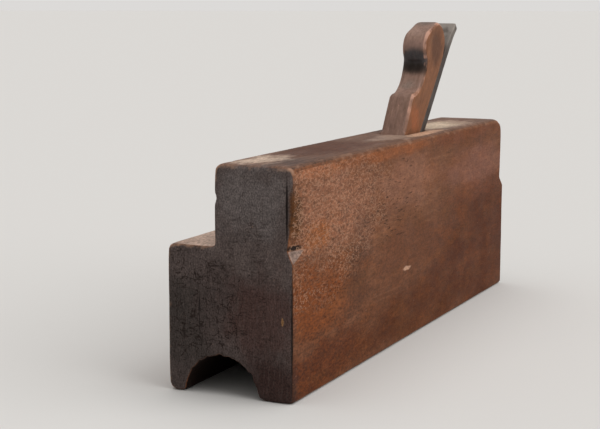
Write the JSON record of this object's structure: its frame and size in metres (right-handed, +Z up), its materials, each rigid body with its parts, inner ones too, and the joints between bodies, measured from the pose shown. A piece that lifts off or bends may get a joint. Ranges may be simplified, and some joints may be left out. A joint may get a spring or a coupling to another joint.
{
  "type": "moulding plane",
  "caption": "Wooden moulding plane with a half-round hollow sole, a tanged profiled iron on a sloping bed and a wedge with a round finial.",
  "frame": {"origin": "bottom centre of the bounding box, on the plane of the sole lands", "axes": "+X across, toward the plain blind side; +Y from toe to heel; +Z up from the sole"},
  "size_m": [0.0492, 0.241, 0.1306],
  "materials": {
    "beech_stock": "aged, oiled and hand-worn",
    "tool_steel": "forged, dull with age",
    "beech_wedge": "aged, hand-worn, pale at the edges"
  },
  "bodies": {
    "stock": {"stock": "beech_stock"},
    "iron": {"iron": "tool_steel"},
    "wedge": {"wedge": "beech_wedge"}
  },
  "joints": [
    {"name": "iron_slide", "type": "slide", "parent": "stock", "child": "iron", "axis": [0, 0.6691, 0.7431], "range_m": [-0.006, 0.006]},
    {"name": "wedge_slide", "type": "slide", "parent": "stock", "child": "wedge", "axis": [0, 0.5299, 0.848], "range_m": [0, 0.075]}
  ]
}
